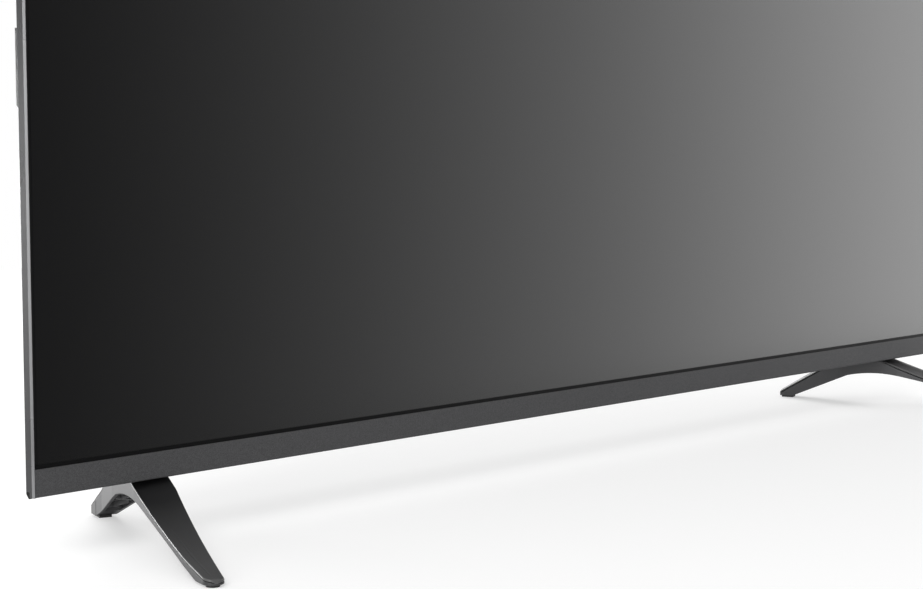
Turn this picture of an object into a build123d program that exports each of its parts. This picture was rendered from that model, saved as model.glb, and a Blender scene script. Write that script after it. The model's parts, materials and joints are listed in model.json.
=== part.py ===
from build123d import *
import math
import os

# Overall sizes of a 43 inch set, in millimetres
screen_width = 964.7
screen_height = 561.0
ground_clearance = 40.0
stand_depth = 210.0
front_toe_reach = 107.5
overrun = 2.0
seat_gap = 0.1
fit_gap = 0.3
pin_gap = 0.05

# Outer frame
frame_depth = 7.0
frame_wall = 1.4
frame_chamfer = 1.1
flange_width = 8.0
flange_thick = 0.8
frame_screw_radius = 1.2
frame_screw_head = 1.9
frame_screw_head_thick = 0.8
frame_screw_inset = 7.0
frame_screw_side_count = 4
frame_screw_top_count = 6
bezel_height = 16.1
bezel_face_thick = 0.9
bezel_floor_thick = 1.4
bezel_edge_radius = 1.1
lip_height = 2.2
lip_recess = 0.5
cap_length = 8.0
cap_height = 3.2
cap_front_depth = 3.6
cap_drop = 0.6
cap_clip = 2.4

# Panel stack, front to back
glass_recess = 1.0
polariser_thick = 0.2
polariser_margin = 2.0
cell_thick = 1.2
tape_thick = 0.3
tape_width = 6.0
ledge_thick = 0.8
ledge_width = 8.0
mid_frame_wall = 1.5
prism_thick = 0.2
film_thick = 0.2
plate_thick = 1.0
flex_space = 3.4

# Back pan and light
pan_thick = 0.6
pan_flange = 14.0
pan_slope = 31.0
pan_depth = 29.8
boss_height = 8.0
boss_radius = 4.0
boss_bore = 1.45
reflector_thick = 0.3
bar_thick = 1.0
bar_height = 15.0
bar_length = 860.0
bar_rows = 3
lens_per_bar = 11
lens_radius = 7.0
lens_rim = 1.6
lens_dome = 3.4
lens_shoulder = 0.6
lens_hole_radius = 8.0

# Rear cover
cover_wall = 2.5
ramp_run = 24.0
base_depth = 34.0
bulge_side = 50.0
bulge_side_rear = 75.0
bulge_side_depth = 45.0
bulge_floor = 0.6
bulge_depth = 74.0
bulge_floor_depth = 60.0
bulge_floor_rise = 16.0
bulge_flat_top = 335.0
bulge_top = 395.0
bulge_lead = 0.2
tower_radius = 4.5
tower_x = 205.0
tower_low = 62.0
tower_high = 312.0
cover_screw_radius = 1.4
cover_head_radius = 3.2
cover_head_thick = 1.6
cover_screw_tip = 1.0
cover_screw_drop = 60.0
cover_screw_inner = 127.0
cover_screw_inset = 102.35

# Vents and speaker slots
vent_width = 3.0
vent_pitch = 9.0
vent_count = 24
vent_start = 110.0
vent_low = 343.0
vent_high = 384.0
slot_width = 2.0
slot_pitch = 5.0
slot_count = 16
slot_margin = 12.0
slot_front = 34.0
slot_back = 55.0

# Connector bays
bay_depth = 38.0
right_bay_inset = 182.35
right_bay_low = 80.0
right_bay_high = 290.0
left_bay_inset = 152.35
left_bay_low = 140.0
left_bay_high = 210.0

# Wall mount
mount_spacing = 200.0
mount_height = 215.0
mount_hole_radius = 3.0
insert_radius = 5.5
insert_flange_radius = 8.0
insert_flange_thick = 2.0
rail_width = 26.0
rail_thick = 2.0
rail_depth = 64.0
rail_low = 103.0
rail_high = 330.0

# Boards and what they carry
board_thick = 1.6
screw_head_radius = 2.8
screw_head_thick = 1.8
screw_shank_radius = 1.4
screw_reach = 5.0
board_screw_inset = 6.0
power_bay_gap = 4.0
power_width = 204.0
power_low = 90.0
power_high = 280.0
main_width = 149.3
main_bay_gap = 2.7
main_low = 70.0
main_high = 285.0
timing_half = 56.0
timing_low = 58.0
timing_high = 100.0
core_width = 34.0
core_height = 30.0
core_depth = 12.0
winding_radius = 12.0
winding_length = 22.0
transformer_reach = 116.0
transformer_lows = (110.0, 170.0, 232.0)
capacitor_radius = 9.0
capacitor_length = 28.0
capacitor_reach = 58.0
capacitor_pitch = 24.0
capacitor_z = 235.0
capacitor_count = 2
sink_width = 12.0
sink_depth = 24.0
sink_length = 70.0
sink_fin = 1.6
sink_fins = 4
sink_base = 2.0
sink_reaches = (166.0, 86.0)
sink_z = (150.0, 110.0)
inlet_width = 24.0
inlet_depth = 18.0
inlet_length = 25.0
inlet_z = 175.0
inlet_recess = 15.0
inlet_lobe_radius = 3.7
inlet_lobe_spacing = 8.6
inlet_pin_radius = 1.2
inlet_pin_length = 12.0
processor_sink = 44.0
processor_sink_height = 12.0
processor_fin_count = 9
processor_fin = 1.4
processor_base = 3.0
processor_reach = 57.0
processor_z = 205.0
tuner_width = 34.0
tuner_height = 23.0
tuner_depth = 10.0
aerial_radius = 4.8
aerial_bore = 1.2
aerial_reach = 9.0
aerial_z = 258.0
hdmi_width = 15.0
hdmi_height = 6.0
hdmi_length = 12.0
hdmi_wall = 0.6
hdmi_tongue = 1.8
tongue_share = 0.32
lobe_share = 0.8
hdmi_zs = (104.0, 128.0, 152.0)
usb_width = 14.5
usb_height = 7.2
usb_length = 14.0
usb_wall = 0.6
usb_tongue = 2.0
usb_zs = (174.0, 194.0)
lan_width = 16.0
lan_height = 13.5
lan_length = 16.0
lan_wall = 1.6
lan_z = 216.0
jack_radius = 3.6
jack_bore = 1.8
jack_length = 13.0
jack_block = 8.0
jack_zs = (232.0, 242.0)
port_clearance = 0.5

# Sensor under the right end of the bezel
sensor_inset = 30.35
sensor_width = 16.0
sensor_front = 2.2
sensor_depth = 3.6
sensor_lens_height = 2.4
sensor_board_half = 15.0
sensor_board_thick = 0.8

# Panel drive boards, flexes and cables
driver_length = 300.0
driver_offset = 180.0
driver_width = 14.0
driver_thick = 1.0
driver_share = 0.62
flex_thick = 0.2
flex_width = 30.0
flex_count = 4
flex_drop = 0.9
flex_bend = 0.8
flex_reach = 5.0
ribbon_thick = 0.6
ribbon_width = 22.0
ribbon_low = 74.0
ribbon_rise = 12.0
ribbon_bend = 4.0
ribbon_reach = 10.0
short_ribbon_rise = 4.0
short_ribbon_inset = 3.0
short_ribbon_turn = 47.0
short_ribbon_bend = 1.5
short_ribbon_x = 44.0
wire_radius = 1.6
wire_bend = 6.0
cable_rise = 14.0
cable_inset = 8.0
cable_high = 101.0
cable_low = 44.0
speaker_cable_inset = 30.0
speaker_cable_spacing = 12.0
speaker_cable_low = 32.0
speaker_cable_high = 80.0
speaker_cable_drop = 22.0

# Speakers
speaker_width = 110.0
speaker_inset = 132.35
speaker_high = 58.0
speaker_front = 31.0
speaker_back = 58.0
speaker_wall = 2.0
driver_inset = 55.0
cone_radius = 8.8
cone_height = 5.0
cone_thick = 0.8
cone_gap = 0.6
coil_radius = 3.8
coil_wall = 0.5
coil_height = 6.0
coil_room = 0.5
cone_room = 1.6
basket_radius = 11.2
basket_thick = 1.2
basket_post = 1.4
basket_posts = 4
yoke_thick = 2.0
magnet_radius = 8.0
magnet_height = 7.0
magnet_wall = 1.4

# Joystick pod behind the left edge
pod_inset = 24.0
pod_width = 44.0
pod_depth = 46.0
pod_low = 218.0
pod_ramp = 8.0
pod_high = 262.0
stick_height = 240.0
stick_pivot = 37.6
stick_board_front = 31.0
stick_board_width = 18.0
stick_board_height = 31.0
stick_board_thick = 1.0
socket_half = 6.6
socket_inner = 5.4
socket_rise = 7.4
ring_half = 4.7
ring_inner = 3.1
ring_thick = 2.2
ring_pin_radius = 0.6
ring_pin_reach = 1.5
stem_half = 2.3
stem_thick = 2.4
stem_pin_reach = 1.9
stem_radius = 1.6
stem_length = 7.6
stick_hole_radius = 9.0
stick_cap_radius = 7.0
stick_cap_thick = 3.4
stick_cap_reach = 48.4
stick_cap_edge = 0.8
stick_hub_radius = 3.2
stick_hub_length = 3.0
stick_travel = 0.6
post_radius = 2.4
post_bore = 0.9
post_offset = 12.2

# Stand brackets and feet
front_toe_inset = 45.7
back_toe_inset = 113.35
front_toe_radius = 6.2
back_toe_radius = 6.5
back_toe_rounding = 2.0
back_toe_reach = 7.717
hip_half = 15.3
hip_back_half = 13.5
outer_neck_shares = (0.245, 0.75, 1.03)
outer_neck_halves = (8.1, 9.3, 9.8)
outer_back_half = 8.5
outer_heel_share = 0.66
outer_heel_half = 5.8
pad_height = 1.6
front_pad_radius = 4.0
back_pad_length = 10.0
back_pad_width = 8.0
front_toe_top = 4.8
back_toe_top = 6.3
thin_edge = 0.2
saddle_front_reach = 15.0
saddle_back_reach = 52.0
saddle_inner = 10.0
saddle_outer = 7.0
saddle_floor = 32.0
top_mid_share = 0.471
top_mid_height = 18.1
arch_crown_reach = 24.0
arch_height = 27.0
arch_front_reach = -6.0
arch_front_height = 24.8
arch_back_reach = 44.0
arch_back_height = 24.0
arch_toe_front = 9.0
arch_heel_inset = 5.0
arch_mid_share = 0.518
arch_mid_height = 14.9
edge_offsets = (10.5, 6.0, 4.0, -4.0, -9.0, -16.0)
edge_drops = (0.0, 0.0, 0.0, 0.9, 2.6, 5.0)
drop_mid_share = 0.8
drop_saddle_share = 0.2
drop_back_share = 0.75
edge_rises = (3.9, 0.0, 0.0, 0.0, 0.0, 0.0)
rise_front_share = 0.58
rise_crown_share = 0.4
rise_back_share = 0.2
foot_cover_thick = 1.6
foot_skin = 2.0
foot_solid_front = 14.0
foot_solid_inset = 15.0
rib_thick = 1.4
rib_angle = 32.0
rib_pitch = 18.0
rib_count = 8
rib_length = 60.0
rib_start = 60.0
rib_rise = 1.2
saddle_screw_reaches = (21.0, 45.0)
foot_screw_radius = 2.0
foot_screw_head_radius = 3.6
foot_screw_head = 2.6
foot_screw_seat = 33.0
foot_boss_radius = 5.2
bracket_half = 22.0
bracket_front = 16.0
bracket_back = 57.0
bracket_foot_thick = 7.0
bracket_wall = 3.0
bracket_height = 92.0
bracket_inset = 91.35

# Places worked out from the sizes above
half_width = screen_width / 2
face_y = front_toe_reach - stand_depth / 2
base_z = ground_clearance
top_z = ground_clearance + screen_height
frame_back = face_y + frame_depth
inner_edge = half_width - frame_wall
polariser_y = face_y + glass_recess
cell_y = polariser_y + polariser_thick
tape_y = cell_y + cell_thick
ledge_y = tape_y + tape_thick
prism_y = ledge_y + ledge_thick
film_y = prism_y + prism_thick
plate_y = film_y + film_thick
pan_y = plate_y + plate_thick
flange_y = pan_y + pan_thick
seat_y = flange_y + flange_thick
pan_back = face_y + pan_depth
pan_inner = pan_back - pan_thick
board_y = pan_back + boss_height
parts_y = board_y + board_thick
cover_back = face_y + bulge_depth
module_half = inner_edge - fit_gap
module_low = base_z + bezel_floor_thick + flex_space
module_high = top_z - frame_wall - fit_gap
bulge_low = base_z + bulge_floor
lens_pitch = bar_length / lens_per_bar
mount_z = base_z + mount_height
right_bay_x = half_width - right_bay_inset
left_bay_x = half_width - left_bay_inset
main_right = right_bay_x - main_bay_gap
main_left = main_right - main_width
processor_x = main_left + processor_reach
power_left = power_bay_gap - left_bay_x
power_right = power_left + power_width
transformer_x = power_left + transformer_reach
capacitor_x = power_left + capacitor_reach
sink_x = [power_left + reach for reach in sink_reaches]
speaker_outer = half_width - speaker_inset
speaker_inner = speaker_outer - speaker_width
driver_x = speaker_outer - driver_inset
slot_start = speaker_inner + slot_margin
cover_screw_outer = half_width - cover_screw_inset
sensor_x = half_width - sensor_inset
stick_x = -half_width + pod_inset + pod_width / 2
stick_z = base_z + stick_height
pivot_y = face_y + stick_pivot
stick_board_back = face_y + stick_board_front + stick_board_thick
speaker_low = base_z + bulge_floor + cover_wall + fit_gap
front_toe = (-half_width + front_toe_inset, -stand_depth / 2 + front_toe_radius)
back_toe = (-half_width + back_toe_inset, stand_depth / 2 - back_toe_reach)
toe_span = math.hypot(back_toe[0] - front_toe[0], back_toe[1] - front_toe[1])
toe_angle = math.degrees(math.atan2(back_toe[1] - front_toe[1], back_toe[0] - front_toe[0]))
neck = (face_y - front_toe[1]) / math.sin(math.radians(toe_angle))
saddle_front = neck + saddle_front_reach
saddle_back = neck + saddle_back_reach
saddle_screws = [neck + reach for reach in saddle_screw_reaches]
top_mid = neck * top_mid_share
arch_mid = neck * arch_mid_share
arch_front = neck + arch_front_reach
arch_crown = neck + arch_crown_reach
arch_back = neck + arch_back_reach
arch_heel = toe_span - arch_heel_inset
foot_place = Pos(front_toe[0], front_toe[1], 0) * Rot(0, 0, toe_angle)

low_corner = (Align.MIN, Align.MIN, Align.MIN)
# Sketch planes whose normals run along +X, +Y and +Z
side_plane = Plane.YZ
plan_plane = Plane.XY


def block(x_low, x_high, y_low, y_high, z_low, z_high):
    size = Box(x_high - x_low, y_high - y_low, z_high - z_low, align=low_corner)
    return Pos(x_low, y_low, z_low) * size


def prism(plane, outline, start, end):
    face = plane.offset(start) * make_face(Polyline(*outline, close=True))
    return extrude(face, amount=end - start)


def rod_x(y, z, radius, start, end):
    return Pos((start + end) / 2, y, z) * Rot(0, 90, 0) * Cylinder(radius, end - start)


def rod_y(x, z, radius, start, end):
    return Pos(x, (start + end) / 2, z) * Rot(90, 0, 0) * Cylinder(radius, end - start)


def rod_z(x, y, radius, start, end):
    return Pos(x, y, (start + end) / 2) * Cylinder(radius, end - start)


def mirrored(shape):
    return mirror(shape, about=Plane.YZ)


def both_sides(shape):
    return [shape, mirrored(shape)]


def solids_of(shape):
    if isinstance(shape, list):
        return [solid for piece in shape for solid in solids_of(piece)]
    return list(shape.solids())


def save(name, shape):
    solids = solids_of(shape)
    result = solids[0] if len(solids) == 1 else Compound(children=solids)
    export_step(result, f"parts/{name}.step")


def module_ring(margin, width, y_low, y_high):
    outer = block(-module_half + margin, module_half - margin, y_low, y_high,
                  module_low + margin, module_high - margin)
    reach = margin + width
    inner = block(-module_half + reach, module_half - reach, y_low - overrun, y_high + overrun,
                  module_low + reach, module_high - reach)
    return outer - inner


def module_sheet(margin, y_low, y_high):
    return block(-module_half + margin, module_half - margin, y_low, y_high,
                 module_low + margin, module_high - margin)


def perimeter_places(inset, count_side, count_top):
    places = []
    for side in (-1, 1):
        for index in range(count_side):
            share = (index + 0.5) / count_side
            places.append((side * (half_width - inset), base_z + screen_height * share))
    for index in range(count_top):
        share = (index + 0.5) / count_top
        places.append((screen_width * (share - 0.5), top_z - inset))
    return places


# Panel stack
def lcd_cell():
    return module_sheet(0, cell_y, tape_y)


def front_polariser():
    return module_sheet(polariser_margin, polariser_y, cell_y)


def cell_tape():
    return module_ring(ledge_width - tape_width, tape_width, tape_y, ledge_y)


def mid_frame():
    ledge = module_ring(0, ledge_width, ledge_y, prism_y)
    wall = module_ring(0, mid_frame_wall, ledge_y, pan_y)
    return ledge + wall


def stack_sheet(y_low, y_high):
    return module_sheet(mid_frame_wall + fit_gap, y_low, y_high)


# Trays: the form inside the back pan's outer face, moved in by an offset
def tray_form(offset):
    rise = pan_back - pan_y
    rim = pan_flange - pan_thick + offset * math.hypot(pan_slope, rise) / rise
    base = pan_back - offset
    slope = pan_slope * (base - pan_y) / rise
    wide = module_half - rim
    narrow = wide - slope
    low = module_low + rim
    high = module_high - rim
    plan = [(-wide, pan_y), (wide, pan_y), (narrow, base), (-narrow, base)]
    side = [(pan_y, low), (pan_y, high), (base, high - slope), (base, low + slope)]
    return (prism(plan_plane, plan, low - overrun, high + overrun)
            & prism(side_plane, side, -wide - overrun, wide + overrun))


def tray(offset, thick):
    return tray_form(offset) - tray_form(offset + thick)


def board_boss_places():
    inset = board_screw_inset
    boards = [(power_left, power_right, power_low, power_high),
              (main_left, main_right, main_low, main_high),
              (-timing_half, timing_half, timing_low, timing_high)]
    places = []
    for left, right, low, high in boards:
        for x in (left + inset, right - inset):
            for z in (base_z + low + inset, base_z + high - inset):
                places.append((x, z))
    return places


def cover_screw_places():
    upper = top_z - cover_screw_drop
    return [(x, upper) for x in
            (-cover_screw_outer, -cover_screw_inner, cover_screw_inner, cover_screw_outer)]


def tower_places():
    return [(side * tower_x, base_z + height) for side in (-1, 1)
            for height in (tower_low, tower_high)]


def back_pan():
    flange = module_ring(0, pan_flange, pan_y, flange_y)
    pan = flange + tray(0, pan_thick)
    for x, z in board_boss_places():
        pan += rod_y(x, z, boss_radius, pan_back, board_y)
    for x, z in board_boss_places():
        pan -= rod_y(x, z, boss_bore, pan_back, board_y + overrun)
    for x, z in cover_screw_places() + tower_places():
        pan -= rod_y(x, z, cover_screw_radius + pin_gap, pan_inner - overrun, pan_back + overrun)
    for x, z in frame_screw_places():
        pan -= rod_y(x, z, frame_screw_radius + pin_gap, pan_y - overrun, flange_y + overrun)
    return pan


def lens_places():
    row_pitch = (module_high - module_low) / bar_rows
    places = []
    for row in range(bar_rows):
        z = module_low + row_pitch * (row + 0.5)
        places.append([(lens_pitch * (index + 0.5) - bar_length / 2, z)
                       for index in range(lens_per_bar)])
    return places


def reflector_sheet():
    base = pan_inner - bar_thick
    sheet = tray(pan_thick + bar_thick, reflector_thick)
    sheet -= block(-module_half, module_half, pan_y - overrun, pan_y + seat_gap, module_low, module_high)
    holes = [rod_y(x, z, lens_hole_radius, base - reflector_thick - overrun, base + overrun)
             for row in lens_places() for x, z in row]
    return sheet - holes


def led_bars():
    bars = []
    for row in lens_places():
        z = row[0][1]
        bars.append(block(-bar_length / 2, bar_length / 2, pan_inner - bar_thick, pan_inner,
                          z - bar_height / 2, z + bar_height / 2))
    return bars


def led_lens():
    seat = pan_inner - bar_thick
    rim = rod_y(0, 0, lens_radius, seat - lens_rim, seat)
    dome_radius = lens_radius - lens_shoulder
    ball_radius = (dome_radius ** 2 + lens_dome ** 2) / (2 * lens_dome)
    ball = Pos(0, seat - lens_rim - lens_dome + ball_radius, 0) * Sphere(ball_radius)
    front = block(-lens_radius, lens_radius, seat - lens_rim - lens_dome - overrun,
                  seat - lens_rim, -lens_radius, lens_radius)
    return (rim + (ball & front)).solid()


def led_lenses():
    lens = led_lens()
    return [Pos(x, 0, z) * lens for row in lens_places() for x, z in row]


# Outer frame
def frame_screw_places():
    return perimeter_places(frame_screw_inset, frame_screw_side_count, frame_screw_top_count)


def frame_section(edge):
    front = edge - frame_chamfer
    back = edge - frame_wall - flange_width
    wall = edge - frame_wall
    return [(front, face_y), (edge, face_y + frame_chamfer), (edge, frame_back), (wall, frame_back),
            (wall, seat_y), (back, seat_y), (back, flange_y), (wall, flange_y), (wall, face_y)]


def cut_frame_screws(shape):
    for x, z in frame_screw_places():
        shape -= rod_y(x, z, frame_screw_radius + pin_gap, flange_y - overrun, seat_y + overrun)
    return shape


def side_frame_right():
    bar = prism(plan_plane, frame_section(half_width), base_z, top_z)
    notch = block(half_width - cap_length - overrun, half_width + overrun, face_y + cap_front_depth,
                  frame_back + overrun, base_z - overrun, base_z + cap_height)
    floor_room = block(0, inner_edge, face_y, seat_y + overrun, base_z - overrun,
                       base_z + bezel_floor_thick)
    top_room = block(0, inner_edge, face_y, seat_y + overrun, top_z - frame_wall, top_z + overrun)
    return cut_frame_screws(bar - notch - floor_room - top_room)


def top_frame():
    outline = [(y, z) for z, y in frame_section(top_z)]
    bar = prism(side_plane, outline, -inner_edge, inner_edge)
    corner = block(inner_edge - flange_width, half_width, flange_y - overrun, frame_back + overrun,
                   0, top_z - frame_wall)
    return cut_frame_screws(bar - both_sides(corner))


def frame_screws():
    screw = rod_y(0, 0, frame_screw_radius, pan_y, seat_y)
    screw += rod_y(0, 0, frame_screw_head, seat_y, seat_y + frame_screw_head_thick)
    return [Pos(x, 0, z) * screw for x, z in frame_screw_places()]


def sensor_box(margin, z_low, z_high):
    return block(sensor_x - sensor_width / 2 - margin, sensor_x + sensor_width / 2 + margin,
                 face_y + sensor_front - margin, face_y + sensor_front + sensor_depth + margin,
                 z_low, z_high)


def bottom_bezel():
    low = base_z
    high = base_z + bezel_height
    floor = base_z + bezel_floor_thick
    inside = face_y + bezel_face_thick
    outline = [(face_y, low), (frame_back, low), (frame_back, floor), (inside, floor),
               (inside, high), (face_y, high)]
    bar = prism(side_plane, outline, -inner_edge, inner_edge)
    front_edge = bar.edges().filter_by(Axis.X).sort_by(lambda edge: edge.center().Z + edge.center().Y)[0]
    bar = fillet(front_edge, bezel_edge_radius)
    corner = block(inner_edge - cap_length, half_width, face_y + cap_front_depth,
                   frame_back + overrun, low - overrun, floor + overrun)
    return bar - both_sides(corner) - sensor_box(seat_gap, low - overrun, floor + overrun)


def bezel_lip_strip():
    low = base_z + bezel_height
    return block(-inner_edge, inner_edge, face_y + lip_recess, polariser_y, low, low + lip_height)


def corner_cap():
    left = half_width - cap_length
    front = face_y + cap_front_depth + seat_gap
    low = base_z - cap_drop
    high = base_z + cap_height - seat_gap
    outline = [(front, low), (frame_back - cap_clip, low), (frame_back, low + cap_clip),
               (frame_back, high), (front, high)]
    cap = prism(side_plane, outline, left + seat_gap, half_width)
    flange_room = block(0, inner_edge, face_y, frame_back + overrun, base_z + bezel_floor_thick, high)
    return cap - flange_room


def sensor_window():
    lens_top = base_z + bezel_floor_thick + seat_gap
    window = sensor_box(0, base_z, lens_top)
    return window + sensor_box(-seat_gap, lens_top, base_z + sensor_lens_height)


def sensor_board():
    low = base_z + sensor_lens_height
    return block(sensor_x - sensor_board_half, sensor_x + sensor_board_half,
                 face_y + sensor_front, face_y + sensor_front + sensor_depth,
                 low, low + sensor_board_thick)


# Rear cover
def cover_base(wall):
    slope = ramp_run - frame_wall - fit_gap
    rise = base_depth - frame_depth
    side_wall = wall * math.hypot(slope, rise) / rise
    wide = inner_edge - fit_gap - side_wall
    narrow = half_width - ramp_run - side_wall
    low = base_z + frame_wall + fit_gap + side_wall
    high = top_z - frame_wall - fit_gap - side_wall
    start = seat_y - (overrun if wall else 0)
    back = face_y + base_depth - wall
    plan = [(-wide, start), (wide, start), (wide, frame_back), (narrow, back), (-narrow, back),
            (-wide, frame_back)]
    side = [(start, low), (start, high), (frame_back, high), (back, high - slope),
            (back, low + slope), (frame_back, low)]
    return (prism(plan_plane, plan, low - overrun, high + overrun)
            & prism(side_plane, side, -wide - overrun, wide + overrun))


def cover_bulge(wall):
    start = frame_back + bulge_lead - (overrun if wall else 0)
    back = cover_back - wall
    wide = half_width - bulge_side - wall
    narrow = half_width - bulge_side_rear - wall
    knee = face_y + bulge_side_depth
    low = bulge_low + wall
    floor_knee = face_y + bulge_floor_depth
    top = base_z + bulge_top - wall
    plan = [(-wide, start), (wide, start), (wide, knee), (narrow, back), (-narrow, back),
            (-wide, knee)]
    side = [(start, low), (floor_knee, low), (back, low + bulge_floor_rise),
            (back, base_z + bulge_flat_top - wall), (face_y + base_depth, top), (start, top)]
    return (prism(plan_plane, plan, low - overrun, top + overrun)
            & prism(side_plane, side, -wide - overrun, wide + overrun))


def pod(wall):
    left = -half_width + pod_inset + wall
    right = left + pod_width - 2 * wall
    back = face_y + pod_depth - wall
    root = face_y + base_depth - wall
    front = face_y + frame_depth + bulge_side_depth - base_depth
    low = base_z + pod_low + wall
    high = base_z + pod_high - wall
    outline = [(front, low - pod_ramp), (root, low - pod_ramp), (back, low), (back, high), (front, high)]
    return prism(side_plane, outline, left, right)


def bay_box(side, wall):
    if side > 0:
        x, low, high = right_bay_x, right_bay_low, right_bay_high
    else:
        x, low, high = left_bay_x, left_bay_low, left_bay_high
    box = block(x - wall, half_width, face_y + bay_depth - wall, cover_back + overrun,
                base_z + low - wall, base_z + high + wall)
    return box if side > 0 else mirrored(box)


def port_opening(x, z, half_z, y_low, y_high):
    reach = cover_wall + overrun
    return block(x - reach, x + reach, y_low - port_clearance, y_high + port_clearance,
                 z - half_z - port_clearance, z + half_z + port_clearance)


def port_openings():
    cuts = [port_opening(right_bay_x, base_z + z, hdmi_width / 2, parts_y, parts_y + hdmi_height)
            for z in hdmi_zs]
    cuts += [port_opening(right_bay_x, base_z + z, usb_width / 2, parts_y, parts_y + usb_height)
             for z in usb_zs]
    cuts += [port_opening(right_bay_x, base_z + z, jack_radius, parts_y, parts_y + jack_block)
             for z in jack_zs]
    cuts.append(port_opening(right_bay_x, base_z + lan_z, lan_width / 2, parts_y, parts_y + lan_height))
    cuts.append(port_opening(right_bay_x, base_z + aerial_z, aerial_radius, parts_y,
                             parts_y + 2 * aerial_radius))
    cuts.append(port_opening(-left_bay_x, base_z + inlet_z, inlet_width / 2, parts_y,
                             parts_y + inlet_depth))
    return cuts


def vent_cuts():
    cuts = []
    for index in range(vent_count):
        x = vent_start + vent_pitch * index
        cut = block(x, x + vent_width, face_y + base_depth + cover_wall, cover_back + overrun,
                    base_z + vent_low, base_z + vent_high)
        cuts += both_sides(cut)
    return cuts


def speaker_slots():
    cuts = []
    for index in range(slot_count):
        x = slot_start + slot_pitch * index
        cut = block(x, x + slot_width, face_y + slot_front, face_y + slot_back,
                    bulge_low - overrun, bulge_low + cover_wall + overrun)
        cuts += both_sides(cut)
    return cuts


def rear_cover():
    outer = cover_base(0) + cover_bulge(0) + pod(0)
    inner = cover_base(cover_wall) + cover_bulge(cover_wall) + pod(cover_wall)
    shell = outer - inner
    bulge = cover_bulge(0)
    for side in (1, -1):
        shell += bay_box(side, cover_wall) & bulge
    for side in (1, -1):
        shell -= bay_box(side, 0)
    for x, z in tower_places():
        shell += rod_y(x, z, tower_radius, pan_back, cover_back - cover_wall / 2)
    for x, z in cover_screw_places():
        shell += rod_y(x, z, tower_radius, pan_back, face_y + base_depth - cover_wall / 2)
    for x, z in stick_post_places():
        shell += rod_y(x, z, post_radius, stick_board_back, face_y + pod_depth - cover_wall / 2)
    cuts = port_openings() + vent_cuts() + speaker_slots()
    for x, z in tower_places():
        cuts.append(rod_y(x, z, cover_screw_radius + pin_gap, pan_back - overrun, cover_back))
        cuts.append(rod_y(x, z, cover_head_radius + fit_gap, cover_back - cover_head_thick - seat_gap,
                          cover_back + overrun))
    flat_back = face_y + base_depth
    for x, z in cover_screw_places():
        cuts.append(rod_y(x, z, cover_screw_radius + pin_gap, pan_back - overrun, flat_back))
        cuts.append(rod_y(x, z, cover_head_radius + fit_gap, flat_back - cover_head_thick - seat_gap,
                          flat_back + overrun))
    for x, z in insert_places():
        cuts.append(rod_y(x, z, insert_radius + fit_gap, rail_back() - overrun, cover_back + overrun))
    for x, z in stick_post_places():
        cuts.append(rod_y(x, z, post_bore, stick_board_back - overrun, face_y + pod_depth - cover_wall))
    cuts.append(rod_y(stick_x, stick_z, stick_hole_radius, face_y + pod_depth - cover_wall - overrun,
                      face_y + pod_depth + overrun))
    for x, y in foot_screw_places():
        cuts += both_sides(rod_z(x, y, foot_screw_radius + fit_gap, bulge_low - overrun,
                                 bulge_low + cover_wall + overrun))
    return shell - cuts


def rear_cover_screws():
    screws = []
    for places, back in ((tower_places(), cover_back), (cover_screw_places(), face_y + base_depth)):
        seat = back - cover_head_thick
        for x, z in places:
            shank = rod_y(x, z, cover_screw_radius, pan_inner - cover_screw_tip + reflector_thick, seat)
            screws.append(shank + rod_y(x, z, cover_head_radius, seat, back))
    return screws


# Wall mount
def rail_back():
    return face_y + rail_depth


def insert_places():
    half = mount_spacing / 2
    return [(x, mount_z + z) for x in (-half, half) for z in (-half, half)]


def wall_mount_rail():
    half = rail_width / 2
    back = rail_back()
    x = mount_spacing / 2
    outline = [(x - half, pan_back), (x - half, back), (x + half, back), (x + half, pan_back),
               (x + half - rail_thick, pan_back), (x + half - rail_thick, back - rail_thick),
               (x - half + rail_thick, back - rail_thick), (x - half + rail_thick, pan_back)]
    rail = prism(plan_plane, outline, base_z + rail_low, base_z + rail_high)
    for place_x, z in insert_places():
        rail -= rod_y(place_x, z, insert_radius + pin_gap, back - rail_thick - overrun, back + overrun)
    return rail


def wall_mount_insert():
    start = rail_back() - rail_thick - insert_flange_thick
    body = rod_y(0, 0, insert_radius, start, cover_back)
    body += rod_y(0, 0, insert_flange_radius, start, start + insert_flange_thick)
    return body - rod_y(0, 0, mount_hole_radius, start - overrun, cover_back + overrun)


def wall_mount_inserts():
    insert = wall_mount_insert()
    return [Pos(x, 0, z) * insert for x, z in insert_places()]


# Boards
def board(left, right, low, high):
    inset = board_screw_inset
    plate = block(left, right, board_y, parts_y, base_z + low, base_z + high)
    for x in (left + inset, right - inset):
        for z in (base_z + low + inset, base_z + high - inset):
            plate -= rod_y(x, z, screw_shank_radius + pin_gap, board_y - overrun, parts_y + overrun)
    return plate


def board_screws():
    screw = rod_y(0, 0, screw_shank_radius, parts_y - screw_reach, parts_y)
    screw += rod_y(0, 0, screw_head_radius, parts_y, parts_y + screw_head_thick)
    return [Pos(x, 0, z) * screw for x, z in board_boss_places()]


def power_transformers():
    pieces = []
    for low in transformer_lows:
        z = base_z + low
        half = core_width / 2
        core = block(transformer_x - half, transformer_x + half, parts_y, parts_y + core_depth,
                     z, z + core_height)
        winding = rod_y(transformer_x, z + core_height / 2, winding_radius, parts_y + core_depth,
                        parts_y + winding_length)
        pieces.append(core + winding)
    return pieces


def bulk_capacitors():
    return [rod_y(capacitor_x + capacitor_pitch * index, base_z + capacitor_z, capacitor_radius,
                  parts_y, parts_y + capacitor_length) for index in range(capacitor_count)]


def comb(x_low, width, fins, fin, base, depth, z_low, z_high):
    shape = block(x_low, x_low + width, parts_y, parts_y + base, z_low, z_high)
    pitch = (width - fin) / (fins - 1)
    for index in range(fins):
        x = x_low + pitch * index
        shape += block(x, x + fin, parts_y, parts_y + depth, z_low, z_high)
    return shape


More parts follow.
